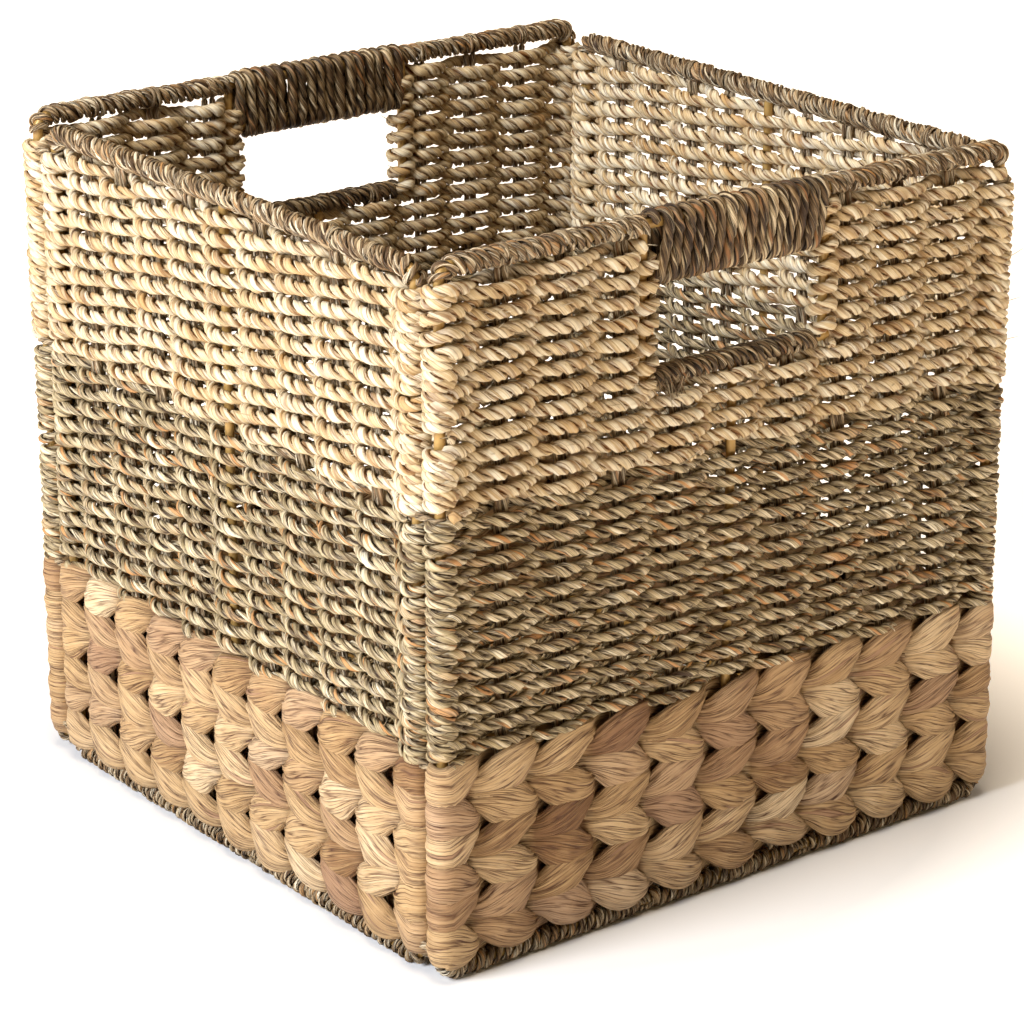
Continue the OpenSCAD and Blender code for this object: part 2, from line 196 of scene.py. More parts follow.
class Piece:
    """The tubes that make up one object, with their fibre coordinates and looks: tone, tint and painted
    fold shade.
    """

    def __init__(self, name):
        self.name = name
        self.rng = seeded(name)
        self.verts, self.faces, self.fibre, self.strip, self.looks = [], [], [], [], []
        self.count = 0
        self.run = 0.0          # length of strip used so far
        self.widest = 0.0

    def add_tube(self, grid, s, around, tone, tint, fold_shade):
        """grid: rings x sides x 3 points; s: length at each ring; around: girth in mm.

        tone and tint are given for each ring, and the painted shade of folds and hollows for each
        point."""
        rings, sides = grid.shape[:2]
        index = np.arange(rings * sides).reshape(rings, sides) + self.count
        nxt = np.roll(index, -1, axis=1)
        faces = np.stack([index[:-1], index[1:], nxt[1:], nxt[:-1]], -1)
        self.faces.append(faces.reshape(-1, 4))
        self.verts.append(grid.reshape(-1, 3))
        look = np.broadcast_arrays(tone[:, None], tint[:, None], fold_shade)
        self.looks.append(np.stack(look, -1).reshape(-1, 3))
        u0, u1 = s[:-1, None], s[1:, None]
        v = np.arange(sides + 1) / sides
        v0, v1 = v[None, :-1], v[None, 1:]
        corners = [(u0, v0), (u1, v0), (u1, v1), (u0, v1)]
        shift = self.rng.uniform(0, 900)
        pairs = [np.stack(np.broadcast_arrays(u + shift, w), -1) for u, w in corners]
        self.fibre.append(np.stack(pairs, 2).reshape(-1, 2))
        pairs = [np.stack(np.broadcast_arrays(u + self.run, w * around), -1) for u, w in corners]
        starts = np.broadcast_to(u0 + self.run, (rings - 1, sides)).reshape(-1)
        self.strip.append((np.stack(pairs, 2).reshape(-1, 4, 2), starts))
        self.run += s[-1] + 2
        self.widest = max(self.widest, around)
        self.count += rings * sides

    def strip_map(self):
        """All the tubes cut into rows and laid in the unit square."""
        row_h = self.widest + 0.6
        row_l = math.sqrt(self.run * row_h) + 6
        out = []
        for uv, starts in self.strip:
            row = np.floor(starts / row_l)
            uv = uv.copy()
            uv[:, :, 0] -= (row * row_l)[:, None]
            uv[:, :, 1] += (row * row_h)[:, None]
            out.append(uv.reshape(-1, 2))
        uv = np.concatenate(out)
        return uv / (max(uv[:, 0].max(), uv[:, 1].max()) + 1)

    def make(self, material, body, slot, *nodes):
        """Builds the object, and puts it on its body in place of its CAD nodes."""
        verts = np.concatenate(self.verts)
        verts[:, 2] = np.maximum(verts[:, 2], FLOOR_GAP)
        faces = np.concatenate(self.faces)
        mesh = bpy.data.meshes.new(self.name)
        mesh.vertices.add(len(verts))
        mesh.vertices.foreach_set("co", (verts * MM).astype(np.float32).ravel())
        mesh.loops.add(faces.size)
        mesh.loops.foreach_set("vertex_index", faces.astype(np.int32).ravel())
        mesh.polygons.add(len(faces))
        mesh.polygons.foreach_set("loop_start", np.arange(0, faces.size, 4, dtype=np.int32))
        mesh.polygons.foreach_set("use_smooth", np.ones(len(faces), bool))
        for name, uv in (("OFBake", self.strip_map()), ("fibre", np.concatenate(self.fibre))):
            mesh.uv_layers.new(name=name).data.foreach_set("uv", uv.astype(np.float32).ravel())
        looks = mesh.attributes.new("looks", "FLOAT_VECTOR", "POINT")
        looks.data.foreach_set("vector", np.concatenate(self.looks).astype(np.float32).ravel())
        mesh.update(calc_edges=True)
        mesh.materials.append(material)
        piece = bpy.data.objects.new(self.name, mesh)
        bpy.context.scene.collection.objects.link(piece)
        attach(piece, body)
        if nodes:
            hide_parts(*nodes)
        return piece


def rope(piece, path, radius, lay, plies=2, sides=7, step=1.3, up=UP, shape=(1.0, 1.0), swell=None,
         off=0.47, thick=0.48, wide=0.7, hand=1, loose=0.13, crease=0.17):
    """A twisted rope along path.

    shape squeezes it across and along up; swell (per path point) fattens it. off, thick and wide place
    and size a ply, in radii. hand is the way of the twist, loose how uneven it is, and crease how
    wrinkled the plies are."""
    up = np.broadcast_to(np.asarray(up, float), path.shape)
    swell = np.ones(len(path)) if swell is None else swell
    s, (p, up, swell) = resample(path, step, up, swell[:, None])
    swell = swell[:, 0]
    t = unit(np.gradient(p, axis=0))
    b = unit(up - (up * t).sum(1, keepdims=True) * t)
    n = np.cross(t, b)
    rng = piece.rng
    r = radius * swell * (1 + loose * 0.6 * wander(s, 7, rng))
    r = r * np.clip((np.minimum(s, s[-1] - s) + 0.3) / 1.2, 0.25, 1)
    turn = hand * TAU * s / lay + rng.uniform(0, 6.28) + loose * 3 * wander(s, 22, rng)
    look = 0.55 * wander(s, 60, rng) + 0.35 * wander(s, 14, rng)
    a = np.arange(sides) * TAU / sides
    for k in range(plies):
        phase = turn + TAU * k / plies + loose * wander(s, 9, rng)
        ca, sa = np.cos(phase)[:, None], np.sin(phase)[:, None]
        o = off * (1 + loose * wander(s, 8, rng))[:, None]
        folds = 1 + crease * np.stack([wander(s, 5, rng) for _ in range(sides)], 1)
        rad = o + thick * np.cos(a)[None] * folds
        tan = (wide * (1 + loose * wander(s, 5, rng)))[:, None] * np.sin(a)[None] * folds
        x, y = ca * rad - sa * tan, sa * rad + ca * tan
        # painted shade: the faces of a ply that lie deep between the plies get a darker colour
        fold_shade = np.clip((0.95 - np.hypot(x, y)) / 0.75, 0, 1)
        x, y = x * r[:, None] * shape[0], y * r[:, None] * shape[1]
        grid = p[:, None] + x[..., None] * n[:, None] + y[..., None] * b[:, None]
        flecks = np.clip(0.9 * wander(s, 16, rng) - 0.55, 0, 1)
        piece.add_tube(grid, s, TAU * radius * 0.6, look + rng.normal(0, 0.16), flecks, fold_shade)


def wisps(piece, path, outward, where, count, length, size):
    """Stray fibres: thin tapered strips that leave the rope at some of the points `where` and curl."""
    rng = piece.rng
    s = lengths(path)
    t_all = unit(np.gradient(path, axis=0))
    for _ in range(count):
        i = rng.choice(where)
        out = outward[i] + rng.normal(0, 0.35, 3)
        away = t_all[i] * rng.choice([-1, 1])
        reach = length * rng.uniform(0.5, 1.5)
        f = np.linspace(0, 1, 7)[:, None]
        lift = rng.uniform(0.2, 0.9)
        curl = rng.normal(0, 0.5, 3)
        p = path[i] + out * 1.6 + reach * (f * away + lift * f * f * out + 0.4 * f * f * curl)
        strip(piece, p, size * rng.uniform(0.5, 1.3), 0.16, rng.uniform(0.2, 0.9))


def strip(piece, path, half, flat, tone, up=UP):
    """A thin fibre that narrows to its far end; half is its half width, flat its relative thickness."""
    s = lengths(path)
    t = unit(np.gradient(path, axis=0))
    b = unit(np.broadcast_to(up, path.shape) - (up * t).sum(1, keepdims=True) * t + 1e-4)
    n = np.cross(t, b)
    f = s / s[-1]
    w = half * np.sqrt(np.clip(1 - f, 0.02, 1))
    a = np.arange(4) * math.pi / 2
    x = w[:, None] * flat * np.cos(a)[None]
    y = w[:, None] * np.sin(a)[None]
    grid = path[:, None] + x[..., None] * n[:, None] + y[..., None] * b[:, None]
    none = np.zeros(len(s))
    piece.add_tube(grid, s, 4 * half, none + tone, none, none[:, None] + np.zeros(4))


# ---- panels ----

class Panel:
    """Where one wall's wires and bands are, read from the CAD nodes."""

    def __init__(self, side):
        self.side = side
        self.handle = side in ("front", "back")
        low, high = box_mm(side + "_frame")
        along, across = (0, 1) if self.handle else (1, 0)
        self.post = high[along] - WIRE_R
        self.wall = abs(low[across] + high[across]) / 2
        self.foot = low[2] + WIRE_R
        self.top = high[2] - WIRE_R
        self.pitch = 2 * self.post / (STAKE_COUNT + 1)
        if self.handle:
            low, high = box_mm(side + "_hole_wrap")
            self.hole_rail = (low[2] + high[2]) / 2
            self.grip_half = high[0]
            self.grip_low, self.grip_high = (v[2] for v in box_mm(side + "_grip_wrap"))
        angle = {"front": 0, "back": 180, "left": -90, "right": 90}[side]
        c, s = math.cos(math.radians(angle)), math.sin(math.radians(angle))
        self.turn = np.array([[c, -s, 0], [s, c, 0], [0, 0, 1]])

    def place(self, path):
        """Panel coordinates to the shared frame."""
        return (path - [0, self.wall, 0]) @ self.turn.T

    def rows(self, band, pitch):
        """The heights of a band's rows; corn husk goes on up to the top rail."""
        low, high = box_mm(f"{self.side}_{band}")
        count = int(round((high[2] - low[2]) / pitch))
        step = (high[2] - low[2]) / count
        zs = low[2] + step * (np.arange(count) + 0.5)
        while band == "husk_band" and zs[-1] + step < self.top - RAIL_R - 1.0:
            zs = np.append(zs, zs[-1] + step)
        return zs

    def verticals(self):
        """(x, half thickness, half width held flat) of the posts, stakes and middle wire."""
        last = (STAKE_COUNT + 1) // 2
        sizes = {-last: (WIRE_R, 0.5), 0: (UPRIGHT_R, 0.5), last: (WIRE_R, 0.5)}
        return [(k * self.pitch, *sizes.get(k, (CORD_R, 2.0))) for k in range(-last, last + 1)]


def drift(rng, size, long, high):
    """A smooth random height shift over a panel, as a function of x and z."""
    waves = [(rng.normal() / long, rng.normal() / high, rng.uniform(0, 6.28)) for _ in range(6)]
    return lambda x, z: size * sum(np.sin(a * x + b * z + c) for a, b, c in waves) / 2.4


def woven_row(xs, ys, flats, x):
    """How far in or out of the panel a row lies at x, between the uprights it passes."""
    j = np.clip(np.searchsorted(xs, x) - 1, 0, len(xs) - 2)
    gap = xs[j + 1] - xs[j]
    t = (x - xs[j] - flats[j]) / np.maximum(gap - flats[j] - flats[j + 1], 1)
    f = smooth(t)
    return ys[j] * (1 - f) + ys[j + 1] * f


def serpentine(zs, uprights, first, parity, kind, rng, shift, tight, slack=1.3):
    """One rope laid to and fro in rows at the heights zs, round the uprights. Returns path and swell.

    first and parity say on which face of its first upright it starts; shift moves the rows up or down.
    tight: (left, right), the chance of an extra turn; slack: how far a plain turn may stand off."""
    xs = np.array([u[0] for u in uprights])
    amp = np.array([u[1] for u in uprights]) + kind["radius"] * 0.92
    flats = np.array([u[2] for u in uprights])
    order = np.arange(len(xs)) + first
    points, swells = [], []
    lead = 0.0
    for i, z in enumerate(zs):
        side = np.where((order + i + parity) % 2 == 0, -1.0, 1.0)
        ys = side * amp
        x = np.arange(xs[0], xs[-1] + 0.01, 0.9)
        y = woven_row(xs, ys, flats, x)
        near = np.exp(-(np.min(np.abs(x[:, None] - xs[None]), 1) / 6.0) ** 2)
        height = z + shift(x, z) + 0.32 * wander(x - x[0], 17, rng)
        going = 1 if (i + parity) % 2 == 0 else -1
        row = np.stack([x, y, height], 1)[::going]
        near = near[::going]
        end = -1 if going > 0 else 0
        extra = rng.random() < tight[1 if going > 0 else 0]
        # an extra turn takes room: the row dips before it, and the next one starts higher
        stretch = 1.0 if extra else 0.0
        row[:, 2] -= stretch * smooth(1 - np.abs(row[:, 0] - row[-1, 0]) / 12)
        row[:, 2] += lead * smooth(1 - np.abs(row[:, 0] - row[0, 0]) / 12)
        lead = stretch
        points.append(row)
        swells.append(1 + kind["swell"] * near)
        if i == len(zs) - 1:
            break
        total = math.pi * (3 if extra else 1)
        f = np.linspace(0, 1, 34 if extra else 14)[1:-1]
        beta = side[end] * (math.pi / 2 - total * f)
        reach = amp[end] * (1.0 if extra else rng.uniform(0.95, slack))
        next_z = zs[i + 1] + shift(np.array([xs[end]]), zs[i + 1])[0] + stretch
        height = row[-1, 2] * (1 - f) + next_z * f
        turn = np.stack([xs[end] + going * reach * np.cos(beta), amp[end] * np.sin(beta), height], 1)
        points.append(turn)
        swells.append(np.full(len(turn), 1.02))
    return np.concatenate(points), np.concatenate(swells)


def lay_rope(piece, panel, line, swell, kind, stray):
    """Turns a panel path into rope, with stray fibres on its outer side."""
    path = panel.place(line)
    rope(piece, path, kind["radius"], kind["lay"], step=kind["step"], swell=swell, shape=(0.88, 1.0),
         hand=-1, wide=kind["wide"], crease=kind["crease"])
    none = 0 * line[:, 0]
    outward = unit(np.stack([none, line[:, 1], none + 0.9], 1) * [1, 1, 2]) @ panel.turn.T
    wisps(piece, path, outward, np.flatnonzero(line[:, 1] < -1.5), stray, 5.0, 0.26)


def plain_band(panel, band, kind, material):
    """A band of plain weave; the rows beside a hand hole turn back at its uprights."""
    piece = Piece(f"{panel.side}_{band}_ropes")
    rng = piece.rng
    zs = panel.rows(band + "_band", kind["pitch"])
    uprights = panel.verticals()
    shift = drift(rng, 0.9, 26, 40)
    tight, stray = kind["tight"], kind["stray"]
    hole_z = panel.hole_rail - RAIL_R - 0.8 if panel.handle else math.inf
    low, high = zs[zs < hole_z], zs[zs >= hole_z]
    line, swell = serpentine(low, uprights, 0, 0, kind, rng, shift, (tight, tight))
    lay_rope(piece, panel, line, swell, kind, stray)
    if len(high):
        left = [u for u in uprights if u[0] < -HOLE_POST] + [(-HOLE_POST, UPRIGHT_R, 0.0)]
        right = [(HOLE_POST, UPRIGHT_R, 0.0)] + [u for u in uprights if u[0] > HOLE_POST]
        skipped = len(uprights) - len(right)
        for some, first, turns in ((left, 0, (tight, 0.0)), (right, skipped, (0.0, tight))):
            line, swell = serpentine(high, some, first, len(low), kind, rng, shift, turns)
            lay_rope(piece, panel, line, swell, kind, stray // 2)
    return piece.make(material, "walls", SLOTS[band], f"{panel.side}_{band}_band")


# ---- the thick plaited band ----

def leaf_loop(panel, z, hand, rng):
    """One row of the plait: a strand out on one face and back on the other, crossing at each gap.

    Returns its path, how fat it is at each point, and the shade and hue of the leaf there."""
    amp = UPRIGHT_R + 2.6
    post = panel.post
    x = np.arange(-post, post + 0.1, 1.0)
    theta = math.pi * (x + post) / panel.pitch
    crossing = np.cos(theta)
    flat = np.sign(crossing) * np.abs(crossing) ** 0.65
    out = np.stack([x, -amp * flat, z + hand * PLAIT_RISE * np.sin(theta)], 1)
    back = np.stack([x, amp * flat, z - hand * PLAIT_RISE * np.sin(theta)], 1)[::-1]
    fullness = np.abs(crossing) ** 0.85
    # each leaf, the stretch over one upright, has looks and a size of its own
    leaf = np.round((x + post) / panel.pitch).astype(int)
    each = (2, leaf.max() + 1)
    shade = rng.normal(0, 1, each)
    hue = np.clip(rng.normal(0.0, 0.4, each), 0, 1)
    bulk = 1 + 0.12 * rng.normal(0, 1, each)
    lift = rng.normal(0, 0.8, each)
    bulk[:, [0, -1]], lift[:, [0, -1]] = 1, 0
    out[:, 2] += lift[0][leaf] * fullness
    back[:, 2] += (lift[1][leaf] * fullness)[::-1]
    f = np.linspace(0, 1, TURN_POINTS + 2)[1:-1]
    ends = []
    for side, first in ((1, out[-1, 1]), (-1, back[-1, 1])):
        beta = np.sign(first) * (math.pi / 2 - math.pi * f)
        end_x = side * (post + (amp - 0.3) * np.cos(beta))
        ends.append(np.stack([end_x, amp * np.sin(beta), z + 0 * f], 1))
    turn = np.full(TURN_POINTS, 0.9)
    path = np.concatenate([out, ends[0], back, ends[1]])
    fat = np.concatenate([fullness * bulk[0][leaf], turn, (fullness * bulk[1][leaf])[::-1], turn])
    near, far = (np.stack([shade[i][leaf], hue[i][leaf]], 1) for i in (0, 1))
    look = np.concatenate([near, np.repeat(near[-1:], TURN_POINTS, 0),
                           far[::-1], np.repeat(near[:1], TURN_POINTS, 0)])
    seam = len(out) + TURN_POINTS + SEAM_AT
    path, fat, look = (np.roll(a, -seam, axis=0) for a in (path, fat, look))
    return [np.concatenate([a, a[:SEAM_LAP]]) for a in (path, fat, look)]


def stem(piece, path, fat, look, rng):
    """A flattened, wrinkled plant stem: wide where it lies on a face, pinched where it crosses."""
    s, (p, fat, look) = resample(path, 2.0, fat[:, None], look)
    fat = fat[:, 0]
    t = unit(np.gradient(p, axis=0))
    b = unit(UP - (t @ UP)[:, None] * t)
    n = np.cross(t, b)
    a = np.arange(STEM_SIDES) * TAU / STEM_SIDES
    wide = (5.3 + 4.6 * fat ** 1.3) * (1 + 0.1 * wander(s, 30, rng))
    thick = (2.9 - 0.3 * fat) * (1 + 0.08 * wander(s, 20, rng))
    c, d = np.cos(a), np.sin(a)
    x = thick[:, None] * (np.sign(c) * np.abs(c) ** 1.05)[None]
    y = wide[:, None] * (np.sign(d) * np.abs(d) ** 0.95)[None]
    ridges = np.zeros((len(s), STEM_SIDES))
    for k, size in STEM_RIDGES:
        strength = size * (1 + 0.9 * wander(s, 18, rng))[:, None]
        phase = k * a[None] + 1.8 * wander(s, 24, rng)[:, None] + rng.uniform(0, 6.28)
        ridges += strength * np.sin(phase)
    ridges *= (1.0 - 0.45 * fat)[:, None]
    grow = 1 + ridges / np.maximum(np.hypot(x, y), 2.0)
    x, y = x * grow, y * grow
    # painted shade: the grooves between the ridges get a darker colour
    fold_shade = np.clip(-ridges * 2.0 - 0.1, 0, 1)
    grid = p[:, None] + x[..., None] * n[:, None] + y[..., None] * b[:, None]
    shade = 1.25 * look[:, 0] + 0.3 * wander(s, 12, rng)
    piece.add_tube(grid, s, STEM_GIRTH, shade, look[:, 1], fold_shade)


def plait_band(panel, material):
    """The water hyacinth band: rows of stems that cross the other way in every second row."""
    piece = Piece(f"{panel.side}_hyacinth_stems")
    zs = panel.rows("hyacinth_band", PLAIT_PITCH)
    for i, z in enumerate(zs[::-1]):
        hand = 1 if i % 2 == 0 else -1
        path, fat, look = leaf_loop(panel, z, hand, piece.rng)
        stem(piece, panel.place(path), fat, look, piece.rng)
    return piece.make(material, "walls", "water_hyacinth", f"{panel.side}_hyacinth_band")


# ---- wrapped rails ----

def coil_path(axis, side, radius, pitch, phase, hand=1):
    """A helix round an axis; side is a direction that stays across the axis.

    radius is a length, or a function of the axis. Returns the path and its outward directions."""
    s, (axis,) = resample(axis, pitch / 20)
    t = unit(np.gradient(axis, axis=0))
    e1 = np.broadcast_to(np.asarray(side, float), axis.shape)
    e2 = np.cross(t, e1)
    angle = hand * TAU * s / pitch + phase
    out = np.cos(angle)[:, None] * e1 + np.sin(angle)[:, None] * e2
    r = radius(axis) if callable(radius) else radius
    return axis + out * np.reshape(r, (-1, 1)), out


def rail_axis(panel, z, up):
    """A panel's rail with the bends at its two ends, in panel coordinates. up: the bends go up."""
    a = np.linspace(0, math.pi / 2, 8)
    end_x = -panel.post + BEND_R - BEND_R * np.cos(a)
    end_z = z + (1 if up else -1) * (BEND_R - BEND_R * np.sin(a))
    left = np.stack([end_x, 0 * a, end_z], 1)
    x = np.linspace(-panel.post + BEND_R, panel.post - BEND_R, 60)[1:-1]
    middle = np.stack([x, 0 * x, z + 0 * x], 1)
    right = left[::-1] * [-1, 1, 1]
    axis = np.concatenate([left, middle, right])
    return resample(axis, 0.5)[1][0]


def cut_axis(axis, gaps):
    """The runs of an axis that lie outside the gaps, given as (low x, high x)."""
    keep = np.ones(len(axis), bool)
    for low, high in gaps:
        keep &= ~((axis[:, 0] > low) & (axis[:, 0] < high))
    edges = np.flatnonzero(np.diff(np.concatenate([[0], keep.astype(int), [0]])))
    return [axis[a:b] for a, b in zip(edges[::2], edges[1::2]) if b - a > 3]


def wrap_coils(piece, panel, runs, dips, pitch=COIL_PITCH, hand=1):
    """Two strands wound round each run of a rail, pressed in at the dips by the stakes' ends."""
    def radius(axis):
        near = np.min(np.abs(axis[:, :1] - np.array(dips)[None]), 1)
        return (WIRE_R + COIL_LIFT) * (1 - 0.13 * np.exp(-(near / 3.2) ** 2))

    for run in runs:
        _, (run,) = resample(run, 0.8)
        for k in range(2):
            line, out = coil_path(run, (0, 1, 0), radius, pitch, math.pi * k + 0.4, hand)
            s = lengths(line)
            swell = 1 + 0.12 * wander(s, 21, piece.rng)
            rope(piece, panel.place(line), up=out @ panel.turn.T, swell=swell, **RAIL_ROPE)


def stake_xs(panel):
    """Where a panel's stakes stand, apart from its middle upright."""
    return [k * panel.pitch for k in STAKE_STEPS if k]


def top_wrap(panel, material):
    """The wrap of a top rail, in two lengths where a grip lies between them."""
    piece = Piece(f"{panel.side}_top_coil")
    gap = [(-panel.grip_half - 0.3, panel.grip_half + 0.3)] if panel.handle else []
    wrap_coils(piece, panel, cut_axis(rail_axis(panel, panel.top, False), gap), stake_xs(panel))
    return piece.make(material, "walls", "rail_cord", f"{panel.side}_top_wrap")


def loop_xs(panel):
    """Where the hinge loops or slings sit on a panel's bare bottom wire."""
    p = panel.pitch
    return {"front": [-1.5 * p, 1.5 * p], "back": [-2.5 * p, -0.5 * p, 0.5 * p, 2.5 * p],
            "left": [0.5 * p], "right": [-0.5 * p]}[panel.side]


def bottom_wrap(panel, material):
    """The wrap of a bottom rail, left off where loops or slings sit."""
    piece = Piece(f"{panel.side}_bottom_coil")
    gaps = [(x - LOOP_W / 2 - 0.3, x + LOOP_W / 2 + 0.3) for x in loop_xs(panel)]
    runs = cut_axis(rail_axis(panel, panel.foot, True), gaps)
    wrap_coils(piece, panel, runs, stake_xs(panel), pitch=9.5, hand=-1)
    return piece.make(material, "walls", "rail_cord", f"{panel.side}_bottom_wrap")


def hole_wrap(panel, material):
    """The wrap of the rail under a hand hole, with strand ends that hang down inside."""
    piece = Piece(f"{panel.side}_hole_coil")
    x = np.linspace(-panel.grip_half + 1.5, panel.grip_half - 1.5, 120)
    axis = np.stack([x, 0 * x, panel.hole_rail + 0 * x], 1)
    wrap_coils(piece, panel, [axis], [-panel.pitch, panel.pitch])
    for _ in range(9):
        x0 = -panel.grip_half + piece.rng.uniform(2, 16)
        f = np.linspace(0, 1, 9)[:, None]
        drop = piece.rng.uniform(5, 15)
        hang = [[x0, -4.6, panel.hole_rail - 1]] + f * [[piece.rng.normal(0, 3), -1.0, -drop]]
        hang[:, 1] -= 2.2 * f[:, 0] * (1 - f[:, 0])
        tone = piece.rng.uniform(-0.3, 0.5)
        strip(piece, panel.place(hang), 0.5, 0.35, tone, np.array([1.0, 0, 0.01]))
    return piece.make(material, "walls", "grip_cord", f"{panel.side}_hole_wrap")


def stadium(low, high, radius, count):
    """One loop in the YZ plane round two wires at heights low and high, as (y, z) points."""
    a = np.linspace(0, math.pi, count)
    top = np.stack([-radius * np.cos(a), high + radius * np.sin(a)], 1)
    bottom = np.stack([radius * np.cos(a), low - radius * np.sin(a)], 1)
    return np.concatenate([top, bottom, top[:1]])


def grip_wrap(panel, material):
    """One rope wound round the grip's two wires, loop beside loop."""
    piece = Piece(f"{panel.side}_grip_ropes")
    r_out = panel.grip_high - panel.top
    low = panel.grip_low + r_out
    span = panel.grip_half - 2.3
    step = 2 * span / (GRIP_LOOPS - 1)
    _, (ring,) = resample(stadium(low, panel.top, r_out - 1.55, 12), 0.8)
    n = len(ring) - 1
    f = smooth((np.arange(n) / n - 0.5) / 0.45)
    line = []
    for middle in np.linspace(-span, span, GRIP_LOOPS):
        x = middle + piece.rng.normal(0, 0.25)
        line.append(np.stack([x + (middle + step - x) * f, ring[:-1, 0], ring[:-1, 1]], 1))
    line[-1] = line[-1][:n // 2]
    line = np.concatenate(line)
    centre = np.clip(line[:, 2], low, panel.top)
    out = np.stack([0 * centre, line[:, 1], line[:, 2] - centre], 1)
    out[:, 1] += np.where(np.abs(out[:, 1]) < 1e-6, 1e-3, 0)
    swell = 1 + 0.08 * wander(lengths(line), 30, piece.rng)
    rope(piece, panel.place(line), up=unit(out) @ panel.turn.T, swell=swell, **GRIP_ROPE)
    return piece.make(material, "walls", "grip_cord", f"{panel.side}_grip_wrap")


# ---- stakes ----

def stake_pair(piece, panel, x, low, high, rail):
    """Two cords side by side; at the rail one strand of each folds over it."""
    for side in (-1, 1):
        z = np.arange(low, high + 0.1, 2.0)
        line_x = x + side * CORD_APART / 2 + 0.25 * wander(z - z[0], 20, piece.rng)
        line = np.stack([line_x, 0 * z, z], 1)
        rope(piece, panel.place(line), step=2.2, up=(1, 0, 0.0), **STAKE_ROPE)
    for side in (-1, 1):
        ring = stadium(rail, rail, 4.25, 14)
        lean = np.linspace(-1.0, 1.4, len(ring)) * side
        line = np.stack([x + side * 1.3 + lean, ring[:, 0], ring[:, 1]], 1)
        out = unit((line - [0, 0, rail]) * [0, 1, 1])
        rope(piece, panel.place(line), up=out @ panel.turn.T, **FOLD_ROPE)


def stakes(panel, material):
    """A panel's upright cords, cut short under a hand hole."""
    piece = Piece(f"{panel.side}_stake_cords")
    for x in stake_xs(panel):
        top = panel.hole_rail if panel.handle and abs(x) < HOLE_POST else panel.top
        stake_pair(piece, panel, x, panel.foot + WIRE_R + 0.5, top - WIRE_R - 0.5, top)
    return piece.make(material, "walls", "stake_cord", f"{panel.side}_stakes")


# ---- ties, hinge loops and slings ----

def ring_round(piece, centres, radius, side, width, turns, cord_r):
    """A cord wound turns times round two parallel wires.

    centres are a point on each wire, side is along the wires and width is what the cord takes up."""
    a, b = (np.asarray(c, float) for c in centres)
    along = (b - a) / np.linalg.norm(b - a)
    across = np.cross(side, along)
    f = np.linspace(0, math.pi, 12)
    far = b + radius * (np.sin(f)[:, None] * along - np.cos(f)[:, None] * across)
    near = a + radius * (-np.sin(f)[:, None] * along + np.cos(f)[:, None] * across)
    loop = np.concatenate([far, near])
    loop = np.concatenate([loop] * turns + [loop[:1]])
    _, (loop,) = resample(loop, 1.0)
    step = np.linspace(-0.5, 0.5, len(loop))[:, None] * np.asarray(side, float) * (width - 2 * cord_r)
    mid = a + np.clip((loop - a) @ along, 0, np.linalg.norm(b - a))[:, None] * along
    rope(piece, loop + step, cord_r, up=unit(loop - mid), **RING_ROPE)


def corner_ties(name, material):
    """The cord rings that hold two neighbouring panels' posts together at one corner."""
    piece = Piece(name + "_cords")
    low, high = box_mm(name)
    sx, sy = (1 if high[0] > 0 else -1), (1 if high[1] > 0 else -1)
    front, left = Panel("front"), Panel("left")
    for z in (low[2] + 1.5, *TIE_HEIGHTS, high[2] - 1.5):
        posts = [(sx * front.post, sy * front.wall, z), (sx * front.post, sy * left.post, z)]
        ring_round(piece, posts, WIRE_R + 1.25, (0, 0, 1), 4.6, 2, 1.15)
    return piece.make(material, "walls", "tie_cord", name)


def base_sizes():
    """Half the distances between the base frame's opposite rods, and their height."""
    low, high = box_mm("base_frame")
    return high[0] - WIRE_R, high[1] - WIRE_R, (low[2] + high[2]) / 2


def hinge_loops(material):
    """Cords round the back panel's bottom wire and the base's rear rod, on which the base turns."""
    piece = Piece("base_hinge_cords")
    back = Panel("back")
    _, rod_y, base_z = base_sizes()
    for x in loop_xs(back):
        wires = [(x, back.wall, back.foot), (x, rod_y, base_z)]
        ring_round(piece, wires, WIRE_R + 1.0, (1, 0, 0), LOOP_W, 4, 0.95)
    return piece.make(material, "walls", "tie_cord", "base_hinge_loops")


def slings(material):
    """Loops of cord round the bare bottom wire, with a bight under the base's rim."""
    piece = Piece("base_sling_cords")
    for side in ("front", "left", "right"):
        panel = Panel(side)
        for x in loop_xs(panel):
            for k in (-1, 0, 1):
                ring = stadium(panel.foot, panel.foot, WIRE_R + 0.95, 14)
                lean = np.linspace(-0.8, 0.8, len(ring))
                line = np.stack([x + 2.5 * k + lean, ring[:, 0], ring[:, 1]], 1)
                out = unit((line - [0, 0, panel.foot]) * [0, 1, 1])
                rope(piece, panel.place(line), up=out @ panel.turn.T, **LOOP_ROPE)
            f = np.linspace(0, math.pi, 30)
            bight_y = 1.5 + SLING_REACH * np.sin(f) ** 0.6
            bight = np.stack([x + 2.9 * np.cos(f), bight_y, 5.9 - 0.5 * np.sin(f)], 1)
            rope(piece, panel.place(bight), **BIGHT_ROPE)
    return piece.make(material, "walls", "tie_cord", "base_slings")


# ---- base ----

def base_stakes(material):
    """Pairs of cord from front to back, on which the base's mat is woven."""
    piece = Piece("base_stake_cords")
    _, rod_y, z = base_sizes()
    y = np.arange(-rod_y + 5, rod_y - 2.9, 2.5)
    for x in stake_xs(Panel("front")):
        for side in (-1, 1):
            line = np.stack([x + side * CORD_APART / 2 + 0 * y, y, z + 0 * y], 1)
            rope(piece, line, step=2.6, **STAKE_ROPE)
    return piece.make(material, "base", "stake_cord", "base_stakes")


